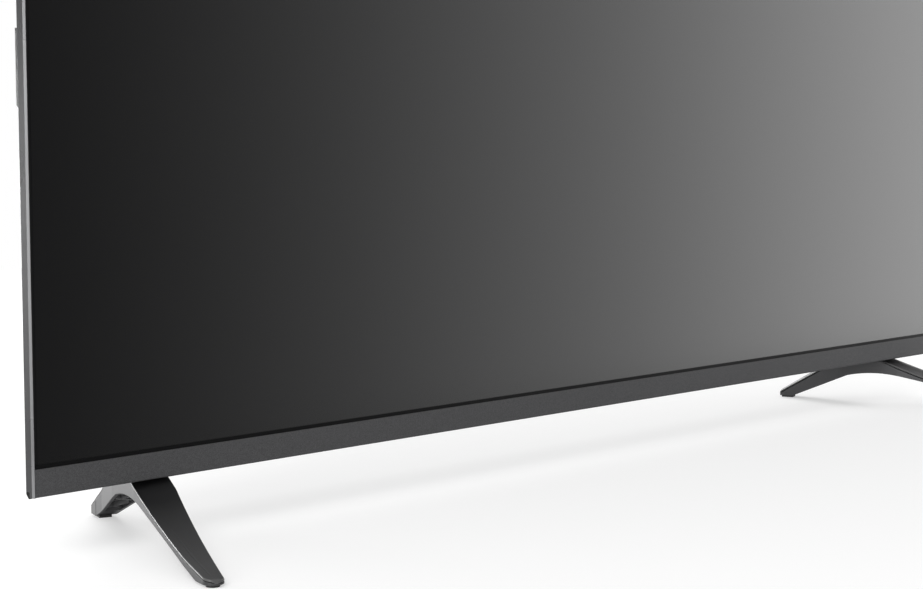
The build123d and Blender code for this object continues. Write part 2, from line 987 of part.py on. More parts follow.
def power_heat_sinks():
    return [comb(x, sink_width, sink_fins, sink_fin, sink_base, sink_depth, base_z + z,
                 base_z + z + sink_length) for x, z in zip(sink_x, sink_z)]


def processor_heat_sink():
    x = processor_x - processor_sink / 2
    z = base_z + processor_z - processor_sink / 2
    return comb(x, processor_sink, processor_fin_count, processor_fin, processor_base,
                processor_sink_height, z, z + processor_sink)


def ac_inlet():
    z = base_z + inlet_z
    face = -left_bay_x
    y = parts_y + inlet_depth / 2
    body = block(face, face + inlet_length, parts_y, parts_y + inlet_depth,
                 z - inlet_width / 2, z + inlet_width / 2)
    half = inlet_lobe_spacing / 2
    depth = face + inlet_recess
    for lobe in (-half, half):
        body -= rod_x(y, z + lobe, inlet_lobe_radius, face - overrun, depth)
    web = inlet_lobe_radius * lobe_share
    body -= block(face - overrun, depth, y - web, y + web, z - half, z + half)
    for lobe in (-half, half):
        body += rod_x(y, z + lobe, inlet_pin_radius, depth - inlet_pin_length, depth + overrun)
    return body


def tuner_can():
    z = base_z + aerial_z
    can = block(main_right - tuner_width, main_right, parts_y, parts_y + tuner_depth,
                z - tuner_height / 2, z + tuner_height / 2)
    return can


def aerial_socket():
    z = base_z + aerial_z
    y = parts_y + aerial_radius
    barrel = rod_x(y, z, aerial_radius, main_right, main_right + aerial_reach)
    end = main_right + aerial_reach
    return barrel - rod_x(y, z, aerial_bore, main_right + overrun, end + overrun)


def socket_shell(z, width, height, length, wall, tongue):
    right = right_bay_x
    left = right - length
    outer = block(left, right, parts_y, parts_y + height, z - width / 2, z + width / 2)
    inner = block(left + wall, right + overrun, parts_y + wall, parts_y + height - wall,
                  z - width / 2 + wall, z + width / 2 - wall)
    middle = parts_y + height / 2
    blade = block(left, right - wall, middle - tongue / 2, middle + tongue / 2,
                  z - width * tongue_share, z + width * tongue_share)
    return outer - inner + blade


def hdmi_ports():
    return [socket_shell(base_z + z, hdmi_width, hdmi_height, hdmi_length, hdmi_wall, hdmi_tongue)
            for z in hdmi_zs]


def usb_ports():
    return [socket_shell(base_z + z, usb_width, usb_height, usb_length, usb_wall, usb_tongue)
            for z in usb_zs]


def lan_port():
    z = base_z + lan_z
    half = lan_width / 2
    outer = block(right_bay_x - lan_length, right_bay_x, parts_y, parts_y + lan_height,
                  z - half, z + half)
    inner = block(right_bay_x - lan_length + lan_wall, right_bay_x + overrun, parts_y + lan_wall,
                  parts_y + lan_height - lan_wall, z - half + lan_wall, z + half - lan_wall)
    return outer - inner


def audio_jacks():
    jacks = []
    for height in jack_zs:
        z = base_z + height
        y = parts_y + jack_block / 2
        body = block(right_bay_x - jack_length, main_right, parts_y, parts_y + jack_block,
                     z - jack_radius, z + jack_radius)
        body += rod_x(y, z, jack_radius, main_right - overrun, right_bay_x)
        jacks.append(body - rod_x(y, z, jack_bore, right_bay_x - jack_length + overrun,
                                  right_bay_x + overrun))
    return jacks


# Panel drive boards on the lower slope of the back pan
def slope_frame():
    low = module_low + pan_flange - pan_thick
    run = pan_back - pan_y
    angle = math.degrees(math.atan2(pan_slope, run))
    length = math.hypot(pan_slope, run) * driver_share
    return Pos(0, pan_y, low) * Rot(angle, 0, 0) * Pos(0, length, 0)


def driver_board(x):
    plate = Pos(x, 0, -driver_thick / 2 - seat_gap) * Box(driver_length, driver_width, driver_thick)
    return slope_frame() * plate


def panel_driver_boards():
    return [driver_board(side * driver_offset) for side in (-1, 1)]


def strip(points, bend, thick, x_low, x_high):
    line = FilletPolyline(*points, radius=bend)
    face = side_plane.offset(x_low) * trace(line, line_width=thick)
    return extrude(face, amount=x_high - x_low)


def on_slope(along, out):
    place = slope_frame() * Pos(0, along, out)
    return place.position.Y, place.position.Z


def panel_flexes():
    start_y = tape_y + flex_thick / 2
    floor = module_low - flex_drop
    end = on_slope(-driver_width / 2 - seat_gap, -driver_thick / 2 - seat_gap)
    points = [(start_y, module_low + flex_drop), (start_y, floor), (flange_y + flex_reach, floor), end]
    flexes = []
    for side in (-1, 1):
        for index in range(flex_count):
            share = (index + 0.5) / flex_count - 0.5
            x = side * driver_offset + driver_length * share
            flexes.append(strip(points, flex_bend, flex_thick, x - flex_width / 2, x + flex_width / 2))
    return flexes


def panel_cable():
    low = base_z + ribbon_low
    high = low + ribbon_width
    rise = parts_y + ribbon_rise
    points = [(timing_half - ribbon_reach, parts_y), (timing_half - ribbon_reach, rise),
              (main_left + ribbon_reach, rise), (main_left + ribbon_reach, parts_y)]
    line = FilletPolyline(*points, radius=ribbon_bend)
    pieces = [extrude(plan_plane.offset(low) * trace(line, line_width=ribbon_thick), amount=high - low)]
    hop = parts_y + short_ribbon_rise
    landing = on_slope(driver_width / 2 - short_ribbon_inset, -driver_thick - fit_gap)
    z = base_z + timing_low + short_ribbon_inset
    turn_z = base_z + short_ribbon_turn
    side = [(parts_y, z), (hop, z), (hop, turn_z), landing]
    for x in (-short_ribbon_x, short_ribbon_x):
        pieces.append(strip(side, short_ribbon_bend, flex_thick, x - ribbon_width / 2,
                            x + ribbon_width / 2))
    return pieces


def wire(points):
    path = FilletPolyline(*points, radius=wire_bend)
    section = Plane(origin=path @ 0, z_dir=path % 0) * Circle(wire_radius)
    return sweep(section, path=path)


def power_cable():
    rise = parts_y + cable_rise
    left = power_right - cable_inset
    right = main_left + cable_inset + ribbon_reach
    high = base_z + cable_high
    low = base_z + cable_low
    return wire([(left, parts_y, high), (left, rise, high), (left, rise, low), (right, rise, low),
                 (right, rise, high), (right, parts_y, high)])


def speaker_cables():
    rise = parts_y + cable_rise
    high = base_z + cable_high
    far_x = main_left + speaker_cable_inset
    near_x = far_x + speaker_cable_spacing
    far_low = base_z + speaker_cable_low
    near_low = base_z + speaker_cable_high
    far = wire([(far_x, parts_y, high), (far_x, rise, high), (far_x, rise, far_low),
                (-speaker_inner, rise, far_low)])
    drop_x = speaker_inner + speaker_cable_drop
    near = wire([(near_x, parts_y, high), (near_x, rise, high), (near_x, rise, near_low),
                 (drop_x, rise, near_low), (drop_x, rise, base_z + speaker_high)])
    return [far, near]


# Speakers, modelled on the right-hand side and mirrored
speaker_y = face_y + (speaker_front + speaker_back) / 2
basket_z = speaker_low + speaker_wall
cone_z = basket_z + basket_thick
yoke_z = cone_z + cone_height + cone_room


def speaker_driver():
    rim_inner = cone_radius + cone_gap
    ring = rod_z(driver_x, speaker_y, basket_radius, basket_z, cone_z)
    yoke = rod_z(driver_x, speaker_y, basket_radius, yoke_z, yoke_z + yoke_thick)
    magnet = rod_z(driver_x, speaker_y, magnet_radius, yoke_z, yoke_z + magnet_height)
    posts = []
    middle = (rim_inner + basket_radius) / 2
    for index in range(basket_posts):
        turn = math.tau * index / basket_posts
        x = driver_x + middle * math.cos(turn)
        y = speaker_y + middle * math.sin(turn)
        posts.append(rod_z(x, y, basket_post / 2, basket_z, yoke_z + yoke_thick))
    body = ring - rod_z(driver_x, speaker_y, rim_inner, basket_z - overrun, cone_z + overrun)
    body = body + yoke + magnet
    for post in posts:
        body += post
    top = yoke_z + magnet_height - magnet_wall
    gap = rod_z(driver_x, speaker_y, coil_radius + coil_room, yoke_z - overrun, top)
    pole = rod_z(driver_x, speaker_y, coil_radius - coil_wall - coil_room, yoke_z - 2 * overrun,
                 top + overrun)
    keep = rod_z(driver_x, speaker_y, coil_radius + coil_room, yoke_z, top + overrun)
    return body - (gap - pole) - (pole - keep)


def speaker_box():
    outer = block(speaker_inner, speaker_outer, face_y + speaker_front, face_y + speaker_back,
                  speaker_low, base_z + speaker_high)
    wall = speaker_wall
    inner = block(speaker_inner + wall, speaker_outer - wall, face_y + speaker_front + wall,
                  face_y + speaker_back - wall, speaker_low + wall, base_z + speaker_high - wall)
    hole = rod_z(driver_x, speaker_y, cone_radius + cone_gap, speaker_low - overrun,
                 speaker_low + wall + overrun)
    return [outer - inner - hole, speaker_driver()]


def speaker_cone():
    top = cone_z + cone_height
    rim = cone_thick
    outline = [(cone_radius - rim, cone_z), (cone_radius, cone_z), (coil_radius, top),
               (coil_radius, top + coil_height), (coil_radius - coil_wall, top + coil_height),
               (coil_radius - coil_wall, top - rim)]
    face = make_face(Polyline(*[(r, z) for r, z in outline], close=True))
    lathe = revolve(Plane.XZ * face, axis=Axis.Z)
    dust_cap = Pos(0, 0, top - rim) * Cylinder(coil_radius - coil_wall, rim,
                                               align=(Align.CENTER, Align.CENTER, Align.MIN))
    return Pos(driver_x, speaker_y, 0) * (lathe + dust_cap)


# Joystick
def stick_post_places():
    return [(stick_x, stick_z + side * post_offset) for side in (-1, 1)]


def stick_block(half_x, half_z, y_low, y_high):
    return block(stick_x - half_x, stick_x + half_x, y_low, y_high, stick_z - half_z, stick_z + half_z)


def joystick_board():
    front = face_y + stick_board_front
    plate = stick_block(stick_board_width / 2, stick_board_height / 2, front, stick_board_back)
    for x, z in stick_post_places():
        plate -= rod_y(x, z, post_bore, front - overrun, stick_board_back + overrun)
    return plate


def joystick_socket():
    top = stick_board_back + socket_rise
    walls = stick_block(socket_half, socket_half, stick_board_back, top)
    walls -= stick_block(socket_inner, socket_inner, stick_board_back - overrun, top + overrun)
    return walls - rod_x(pivot_y, stick_z, ring_pin_radius + pin_gap, stick_x - socket_half - overrun,
                         stick_x + socket_half + overrun)


def joystick_ring():
    low = pivot_y - ring_thick / 2
    high = pivot_y + ring_thick / 2
    ring = stick_block(ring_half, ring_half, low, high)
    reach = ring_half + ring_pin_reach
    ring += rod_x(pivot_y, stick_z, ring_pin_radius, stick_x - reach, stick_x + reach)
    ring -= stick_block(ring_inner, ring_inner, low - overrun, high + overrun)
    return ring - rod_z(stick_x, pivot_y, ring_pin_radius + pin_gap, stick_z - ring_half - overrun,
                        stick_z + ring_half + overrun)


def joystick_stem():
    high = pivot_y + stem_thick / 2
    stem = stick_block(stem_half, stem_half, pivot_y - stem_thick / 2, high)
    reach = stem_half + stem_pin_reach
    stem += rod_z(stick_x, pivot_y, ring_pin_radius, stick_z - reach, stick_z + reach)
    return stem + rod_y(stick_x, stick_z, stem_radius, high, high + stem_length)


def joystick_cap():
    back = face_y + stick_cap_reach
    front = back - stick_cap_thick
    cap = rod_y(stick_x, stick_z, stick_cap_radius, front, back)
    cap = chamfer(cap.edges().filter_by(GeomType.CIRCLE).sort_by(Axis.Y)[-1], stick_cap_edge)
    cap += rod_y(stick_x, stick_z, stick_hub_radius, front - stick_hub_length, front)
    stem_end = pivot_y + stem_thick / 2 + stem_length
    return cap - rod_y(stick_x, stick_z, stem_radius + pin_gap, front - stick_hub_length - overrun,
                       stem_end + stick_travel + seat_gap)


# Stand brackets
def foot_screw_places():
    return [((foot_place * Pos(along, 0, 0)).position.X, (foot_place * Pos(along, 0, 0)).position.Y)
            for along in saddle_screws]


def stand_bracket():
    low = speaker_low
    middle = -half_width + bracket_inset
    left = middle - bracket_half
    right = middle + bracket_half
    shelf = block(left, right, face_y + bracket_front, face_y + bracket_back, low,
                  low + bracket_foot_thick)
    upright = block(left, right, pan_back, pan_back + bracket_wall, low, base_z + bracket_height)
    bracket = shelf + upright
    for x, y in foot_screw_places():
        bracket -= rod_z(x, y, foot_screw_radius + pin_gap, low - overrun,
                         low + bracket_foot_thick + overrun)
    return bracket


# Feet, modelled along their own length: X from front toe to back toe, Y to the outside
def foot_section(offset, drop, edge_drop, rise, cut_depth):
    front = -front_toe_radius
    back = toe_span + back_toe_radius
    floor = pad_height - cut_depth
    lowest = floor + thin_edge
    front_top = (front, max(front_toe_top - drop - edge_drop, lowest))
    back_top = (back, max(back_toe_top - drop - edge_drop, lowest))
    middle = (top_mid, top_mid_height - drop - edge_drop * drop_mid_share)
    saddle_start = (saddle_front, bulge_low - drop - edge_drop * drop_saddle_share)
    saddle_end = (saddle_back, bulge_low - drop - edge_drop * drop_back_share)
    arch_end = (arch_back, arch_back_height - cut_depth + rise * rise_back_share)
    crown = (arch_crown, arch_height - cut_depth + rise * rise_crown_share)
    arch_start = (arch_front, arch_front_height - cut_depth + rise * rise_front_share)
    toe_end = (arch_toe_front, floor)
    heel = (arch_heel, floor)
    outline = [Line((front, floor), front_top), ThreePointArc(front_top, middle, saddle_start),
               Line(saddle_start, saddle_end), Line(saddle_end, back_top), Line(back_top, (back, floor)),
               Line((back, floor), heel), Line(heel, arch_end), ThreePointArc(arch_end, crown, arch_start),
               ThreePointArc(arch_start, (arch_mid, arch_mid_height - cut_depth), toe_end),
               Line(toe_end, (front, floor))]
    return Plane.XZ.offset(-offset) * make_face(outline)


def foot_form(drop, cut_depth):
    sections = [foot_section(offset, drop, edge_drop, rise, cut_depth)
                for offset, edge_drop, rise in zip(edge_offsets, edge_drops, edge_rises)]
    return loft(sections, ruled=True)


def foot_plan(inset):
    heel = saddle_back + (toe_span - saddle_back) * outer_heel_share
    outer = [(0, front_toe_radius)]
    outer += [(neck * share, half) for share, half in zip(outer_neck_shares, outer_neck_halves)]
    outer += [(saddle_back, outer_back_half), (heel, outer_heel_half), (toe_span, back_toe_radius)]
    inner = [(toe_span, back_toe_radius), (saddle_back, hip_back_half), (neck, hip_half), (0, front_toe_radius)]
    edge = [(x, half - inset) for x, half in outer] + [(x, inset - half) for x, half in inner]
    face = make_face(Polyline(*edge, close=True))
    face += Circle(front_toe_radius - inset)
    toe = 2 * (back_toe_radius - inset)
    face += Pos(toe_span, 0) * RectangleRounded(toe, toe, back_toe_rounding)
    return extrude(face, amount=bulge_low + overrun)


def saddle(gap):
    return block(saddle_front - gap, saddle_back + gap, -saddle_inner - gap, saddle_outer + gap,
                 saddle_floor, bulge_low)


def foot_ribs():
    ribs = []
    for index in range(rib_count):
        x = rib_start + rib_pitch * index
        for turn in (-rib_angle, rib_angle):
            slab = Box(rib_length, rib_thick, bulge_low, align=(Align.CENTER, Align.CENTER, Align.MIN))
            ribs.append(Pos(x, 0, 0) * Rot(0, 0, 90 + turn) * slab)
    return ribs


def foot_cavity():
    body_drop = foot_cover_thick + seat_gap
    deep = foot_form(body_drop + foot_skin, bulge_low) & foot_plan(foot_skin)
    back = toe_span - foot_solid_inset
    middle = block(foot_solid_front, back, -hip_half, hip_half, -bulge_low, bulge_low)
    return deep & middle


def foot_body():
    form = foot_form(0, 0)
    body = form & Pos(0, 0, -foot_cover_thick - seat_gap) * form & foot_plan(0)
    cavity = foot_cavity()
    grid = Part() + foot_ribs()
    for along in saddle_screws:
        grid += rod_z(along, 0, foot_boss_radius, 0, bulge_low)
    lifted = Pos(0, 0, rib_rise) * form
    body = body - cavity + (grid & cavity & lifted) + saddle(0)
    for along in saddle_screws:
        body -= rod_z(along, 0, foot_screw_radius + fit_gap, 0, bulge_low + overrun)
        body -= rod_z(along, 0, foot_screw_head_radius + fit_gap, 0, foot_screw_seat)
    return body


def foot_cover():
    form = foot_form(0, 0)
    cover = form & foot_plan(0)
    cover -= Pos(0, 0, -foot_cover_thick) * form
    return cover - saddle(seat_gap)


def foot_pads():
    front = foot_place * Cylinder(front_pad_radius, pad_height,
                                  align=(Align.CENTER, Align.CENTER, Align.MIN))
    back = foot_place * Pos(toe_span, 0, 0) * Box(back_pad_length, back_pad_width, pad_height,
                                                  align=(Align.CENTER, Align.CENTER, Align.MIN))
    return both_sides(front) + both_sides(back)


def foot_screws():
    screws = []
    top = speaker_low + bracket_foot_thick
    for x, y in foot_screw_places():
        shank = rod_z(x, y, foot_screw_radius, foot_screw_seat, top)
        head = rod_z(x, y, foot_screw_head_radius, foot_screw_seat - foot_screw_head, foot_screw_seat)
        screws += both_sides(shank + head)
    return screws


def main():
    os.makedirs("parts", exist_ok=True)
    save("lcd_cell", lcd_cell())
    save("front_polariser", front_polariser())
    save("cell_tape", cell_tape())
    save("mid_frame", mid_frame())
    save("prism_sheet", stack_sheet(prism_y, film_y))
    save("diffusing_sheet", stack_sheet(film_y, plate_y))
    save("diffuser_plate", stack_sheet(plate_y, pan_y))
    save("reflector_sheet", reflector_sheet())
    save("led_bars", led_bars())
    save("led_lenses", led_lenses())
    save("back_pan", back_pan())
    save("side_frame_right", side_frame_right())
    save("side_frame_left", mirrored(side_frame_right()))
    save("top_frame", top_frame())
    save("bottom_bezel", bottom_bezel())
    save("bezel_lip_strip", bezel_lip_strip())
    save("corner_caps", both_sides(corner_cap()))
    save("frame_screws", frame_screws())
    save("sensor_window", sensor_window())
    save("sensor_board", sensor_board())
    save("rear_cover", rear_cover())
    save("rear_cover_screws", rear_cover_screws())
    save("wall_mount_rails", both_sides(wall_mount_rail()))
    save("wall_mount_inserts", wall_mount_inserts())
    save("power_board", board(power_left, power_right, power_low, power_high))
    save("power_transformers", power_transformers())
    save("bulk_capacitors", bulk_capacitors())
    save("power_heat_sinks", power_heat_sinks())
    save("ac_inlet", ac_inlet())
    save("main_board", board(main_left, main_right, main_low, main_high))
    save("processor_heat_sink", processor_heat_sink())
    save("tuner_can", tuner_can())
    save("aerial_socket", aerial_socket())
    save("hdmi_ports", hdmi_ports())
    save("usb_ports", usb_ports())
    save("lan_port", lan_port())
    save("audio_jacks", audio_jacks())
    save("timing_board", board(-timing_half, timing_half, timing_low, timing_high))
    save("board_screws", board_screws())
    save("panel_driver_boards", panel_driver_boards())
    save("panel_flexes", panel_flexes())
    save("panel_cable", panel_cable())
    save("power_cable", power_cable())
    save("speaker_cables", speaker_cables())
    save("speaker_box_right", speaker_box())
    save("speaker_box_left", [mirrored(piece) for piece in speaker_box()])
    save("speaker_cone_right", speaker_cone())
    save("speaker_cone_left", mirrored(speaker_cone()))
    save("joystick_board", joystick_board())
    save("joystick_socket", joystick_socket())
    save("joystick_ring", joystick_ring())
    save("joystick_stem", joystick_stem())
    save("joystick_cap", joystick_cap())
    save("stand_brackets", both_sides(stand_bracket()))
    body = foot_place * foot_body()
    cover = foot_place * foot_cover()
    save("foot_left", body)
    save("foot_right", mirrored(body))
    save("foot_cover_left", cover)
    save("foot_cover_right", mirrored(cover))
    save("foot_pads", foot_pads())
    save("foot_screws", foot_screws())


main()
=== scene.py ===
import math

import bpy
import numpy as np
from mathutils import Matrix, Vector
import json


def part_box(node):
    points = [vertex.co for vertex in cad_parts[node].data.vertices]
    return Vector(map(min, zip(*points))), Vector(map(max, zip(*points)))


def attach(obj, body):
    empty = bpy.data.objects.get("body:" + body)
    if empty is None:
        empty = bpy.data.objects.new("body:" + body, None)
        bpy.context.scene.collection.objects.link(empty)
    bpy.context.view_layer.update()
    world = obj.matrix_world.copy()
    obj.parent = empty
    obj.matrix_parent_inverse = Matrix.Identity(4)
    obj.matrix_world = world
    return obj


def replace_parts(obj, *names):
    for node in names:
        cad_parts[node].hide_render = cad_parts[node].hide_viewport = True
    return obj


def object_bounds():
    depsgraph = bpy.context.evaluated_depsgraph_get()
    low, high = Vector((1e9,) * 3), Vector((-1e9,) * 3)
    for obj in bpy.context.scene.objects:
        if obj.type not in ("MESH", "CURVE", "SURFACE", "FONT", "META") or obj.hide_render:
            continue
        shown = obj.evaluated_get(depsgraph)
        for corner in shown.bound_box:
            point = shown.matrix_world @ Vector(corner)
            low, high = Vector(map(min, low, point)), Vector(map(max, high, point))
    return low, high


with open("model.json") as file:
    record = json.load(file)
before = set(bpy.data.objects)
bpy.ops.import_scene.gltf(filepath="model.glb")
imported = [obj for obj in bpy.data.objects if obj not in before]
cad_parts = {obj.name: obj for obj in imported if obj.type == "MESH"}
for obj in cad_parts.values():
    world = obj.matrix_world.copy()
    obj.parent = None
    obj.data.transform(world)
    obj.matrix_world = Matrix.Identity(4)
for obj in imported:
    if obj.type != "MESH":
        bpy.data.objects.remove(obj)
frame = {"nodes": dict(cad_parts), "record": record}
start_low, start_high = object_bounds()
MM = 0.001

# Sizes read from the frame
width = start_high.x - start_low.x
height = start_high.z - start_low.z
side_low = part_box("side_frame_left")[0]
bezel_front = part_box("bottom_bezel")[0].y

# The side frame's front-edge chamfer carries a painted highlight, placed where the distance outward less
# the place along Y is largest
frame_cut = 1.1 * MM
cut_fade = 0.15 * MM
cut_fade_share = 1 / 3
cut_reach = -side_low.x - side_low.y - frame_cut

# Scale of the slow change in gloss over a surface
broad_grain = 9.0
noise_detail = 2.0
round_samples = 4


# Helpers for materials
def new_material(name):
    made = bpy.data.materials.new(name)
    made.use_nodes = True
    return made, made.node_tree, made.node_tree.nodes["Principled BSDF"]


def add(tree, kind, **settings):
    node = tree.nodes.new(kind)
    for key, value in settings.items():
        setattr(node, key, value)
    return node


def place_on(tree):
    return add(tree, "ShaderNodeTexCoord").outputs["Object"]


def axes_on(tree):
    split = add(tree, "ShaderNodeSeparateXYZ")
    tree.links.new(place_on(tree), split.inputs["Vector"])
    return split.outputs


def maths(tree, operation, first, second=None):
    node = add(tree, "ShaderNodeMath", operation=operation)
    tree.links.new(first, node.inputs[0])
    if second is not None:
        tree.links.new(second, node.inputs[1])
    return node.outputs["Value"]


def noise(tree, scale, stretch=(1, 1, 1)):
    mapping = add(tree, "ShaderNodeMapping")
    mapping.inputs["Scale"].default_value = stretch
    texture = add(tree, "ShaderNodeTexNoise")
    texture.inputs["Scale"].default_value = scale
    texture.inputs["Detail"].default_value = noise_detail
    tree.links.new(place_on(tree), mapping.inputs["Vector"])
    tree.links.new(mapping.outputs["Vector"], texture.inputs["Vector"])
    return texture.outputs["Fac"]


def spread(tree, value, low, high, start=0.3, end=0.7):
    node = add(tree, "ShaderNodeMapRange")
    node.inputs["From Min"].default_value = start
    node.inputs["From Max"].default_value = end
    node.inputs["To Min"].default_value = low
    node.inputs["To Max"].default_value = high
    tree.links.new(value, node.inputs["Value"])
    return node.outputs["Result"]


def colour_sockets(sockets):
    return [socket for socket in sockets if socket.type == "RGBA"]


def mixed(tree, share, first, second):
    node = add(tree, "ShaderNodeMix", data_type="RGBA")
    tree.links.new(share, node.inputs["Factor"])
    for socket, colour in zip(colour_sockets(node.inputs), (first, second)):
        if isinstance(colour, tuple):
            socket.default_value = (*colour, 1)
        else:
            tree.links.new(colour, socket)
    return colour_sockets(node.outputs)[0]


# Painted light: the colour turns lighter towards the floor, a painted highlight low down and painted shade
# near the top
def paint_light_towards_floor(tree, body, low, high, lit_colour):
    painted_light_share = spread(tree, axes_on(tree)["Z"], 1, 0, low * MM, high * MM)
    return mixed(tree, painted_light_share, body, lit_colour)


# Painted highlight: a paler colour on the front-edge chamfer stands for the light it reflects
def paint_edge_highlight(tree, body, reach, highlight_colour):
    axes = axes_on(tree)
    outward = maths(tree, "ABSOLUTE", axes["X"])
    past = maths(tree, "SUBTRACT", outward, axes["Y"])
    highlight_share = spread(tree, past, 0, 1, reach - cut_fade, reach - cut_fade * cut_fade_share)
    return mixed(tree, highlight_share, body, highlight_colour)


def relief(tree, fine, bump, reach, edge):
    bumped = add(tree, "ShaderNodeBump")
    bumped.inputs["Strength"].default_value = bump
    bumped.inputs["Distance"].default_value = reach * MM
    tree.links.new(fine, bumped.inputs["Height"])
    if edge:
        rounded = add(tree, "ShaderNodeBevel", samples=round_samples)
        rounded.inputs["Radius"].default_value = edge * MM
        tree.links.new(rounded.outputs["Normal"], bumped.inputs["Normal"])
    return bumped.outputs["Normal"]


# One finish: reach and edge are in millimetres, grain is the scale of its fine texture
def surface(name, colour, rough, metal=0.0, grain=900.0, bump=0.1, reach=0.05, tint=0.12, rough_spread=0.06,
            stretch=(1, 1, 1), coat=0.0, edge=0.0, specular=0.5, painted_floor_light=None, edge_highlight=None):
    made, tree, shader = new_material(name)
    shader.inputs["Metallic"].default_value = metal
    shader.inputs["Coat Weight"].default_value = coat
    shader.inputs["Specular IOR Level"].default_value = specular
    fine = noise(tree, grain, stretch)
    dark = tuple(level * (1 - tint) for level in colour)
    pale = tuple(min(1, level * (1 + tint)) for level in colour)
    body = mixed(tree, spread(tree, fine, 0, 1), dark, pale)
    if painted_floor_light:
        body = paint_light_towards_floor(tree, body, *painted_floor_light)
    if edge_highlight:
        body = paint_edge_highlight(tree, body, *edge_highlight)
    tree.links.new(body, shader.inputs["Base Color"])
    gloss = spread(tree, noise(tree, broad_grain), rough - rough_spread, rough + rough_spread)
    tree.links.new(gloss, shader.inputs["Roughness"])
    tree.links.new(relief(tree, fine, bump, reach, edge), shader.inputs["Normal"])
    return made


# The finish of each material slot
finishes = {
    "panel_glass": surface("panel_glass", (0.003, 0.003, 0.0034), 0.2, grain=1500, bump=0.02),
    "screen_film": surface("screen_film", (0.0022, 0.0022, 0.0025), 0.24, grain=1500, bump=0.02,
                           rough_spread=0.01),
    # frame_metal carries a painted highlight along its front-edge chamfer
    "frame_metal": surface("frame_metal", (0.028, 0.028, 0.0295), 0.3, metal=0.55, grain=2200, bump=0.12,
                           stretch=(1, 1, 0.3), edge=0.2, edge_highlight=(cut_reach, (0.22, 0.22, 0.225))),
    "bezel_metal": surface("bezel_metal", (0.064, 0.064, 0.066), 0.5, metal=0.06, grain=2600, bump=0.25,
                           tint=0.3, edge=0.5, specular=0.06),
    "lip_plastic": surface("lip_plastic", (0.005, 0.005, 0.0052), 0.5, bump=0.08, specular=0.06),
    "cover_plastic": surface("cover_plastic", (0.022, 0.022, 0.023), 0.5, grain=1400, bump=0.5, reach=0.12,
                             rough_spread=0.03, tint=0.15, edge=1.2),
    "foot_plastic": surface("foot_plastic", (0.035, 0.035, 0.037), 0.38, grain=1700, bump=0.3, edge=0.5),
    # Painted light: the foot shell is painted lighter near the floor and darker up by the bezel, standing
    # for light and shade
    "foot_cover_plastic": surface("foot_cover_plastic", (0.01, 0.01, 0.0105), 0.36, grain=1700, bump=0.2,
                                  painted_floor_light=(8, 30, (0.07, 0.07, 0.071))),
    "pad_rubber": surface("pad_rubber", (0.03, 0.03, 0.03), 0.7, grain=1200, bump=0.5),
    "pan_steel": surface("pan_steel", (0.5, 0.5, 0.51), 0.36, metal=1.0, grain=160, bump=0.1),
    "bracket_steel": surface("bracket_steel", (0.45, 0.45, 0.46), 0.4, metal=1.0, grain=200, bump=0.1),
    "screw_steel": surface("screw_steel", (0.09, 0.09, 0.09), 0.35, metal=0.8, bump=0.1),
    "inner_plastic": surface("inner_plastic", (0.03, 0.03, 0.03), 0.5, bump=0.3),
    "white_sheet": surface("white_sheet", (0.82, 0.82, 0.8), 0.6, bump=0.05),
    "milky_plate": surface("milky_plate", (0.72, 0.73, 0.72), 0.35, bump=0.05),
    "foam_tape": surface("foam_tape", (0.015, 0.015, 0.015), 0.9, bump=0.7),
    "led_bar_metal": surface("led_bar_metal", (0.78, 0.78, 0.76), 0.5, metal=0.3),
    "lens_plastic": surface("lens_plastic", (0.62, 0.66, 0.68), 0.12, coat=0.6),
    "board_green": surface("board_green", (0.02, 0.1, 0.045), 0.35, grain=400, tint=0.35, coat=0.3),
    "board_yellow": surface("board_yellow", (0.33, 0.23, 0.09), 0.45, grain=300, tint=0.2),
    "flex_amber": surface("flex_amber", (0.38, 0.18, 0.03), 0.3, tint=0.2, coat=0.3),
    "ribbon_white": surface("ribbon_white", (0.6, 0.61, 0.63), 0.4, grain=700, stretch=(1, 0.05, 0.05)),
    "wire_black": surface("wire_black", (0.02, 0.02, 0.02), 0.45, bump=0.1),
    "transformer_wound": surface("transformer_wound", (0.32, 0.22, 0.04), 0.4, grain=600, tint=0.3),
    "capacitor_sleeve": surface("capacitor_sleeve", (0.02, 0.02, 0.035), 0.3, coat=0.4),
    "sink_aluminium": surface("sink_aluminium", (0.62, 0.62, 0.63), 0.38, metal=1.0, grain=500,
                              stretch=(1, 0.1, 1)),
    "socket_steel": surface("socket_steel", (0.55, 0.55, 0.56), 0.28, metal=1.0, grain=800, edge=0.2),
    "socket_black": surface("socket_black", (0.018, 0.018, 0.018), 0.4, edge=0.3),
    "insert_steel": surface("insert_steel", (0.4, 0.4, 0.41), 0.35, metal=1.0, grain=600),
    "speaker_plastic": surface("speaker_plastic", (0.025, 0.025, 0.025), 0.5, bump=0.4),
    "cone_paper": surface("cone_paper", (0.03, 0.03, 0.03), 0.8, grain=700, bump=0.5),
    "stick_plastic": surface("stick_plastic", (0.03, 0.03, 0.032), 0.4, bump=0.3, edge=0.3),
    "sensor_window_plastic": surface("sensor_window_plastic", (0.04, 0.004, 0.008), 0.12, coat=0.5),
}


def dress(obj, slot):
    obj.data.materials.clear()
    obj.data.materials.append(finishes[slot])


slots = {part["node"]: part["material_slot"] for part in frame["record"]["subparts"]}
for node_name, node in frame["nodes"].items():
    dress(node, slots[node_name])

# Foot shell, a smooth moulded cover. Its length runs from the front toe to the back toe.
front_radius = 6.2 * MM
back_half = 6.5 * MM
back_rounding = 2.0 * MM
back_reach = 7.717 * MM
least_half = 0.05 * MM
# Half widths on the outer side, as shares of the way to the screen's face and in millimetres
outer_neck = ((0.0, 6.2), (0.245, 8.1), (0.75, 9.3), (1.03, 9.8))
outer_back = 8.5 * MM
heel_share = 0.66
outer_heel = 5.8 * MM
hip = 15.3 * MM
hip_back = 13.5 * MM
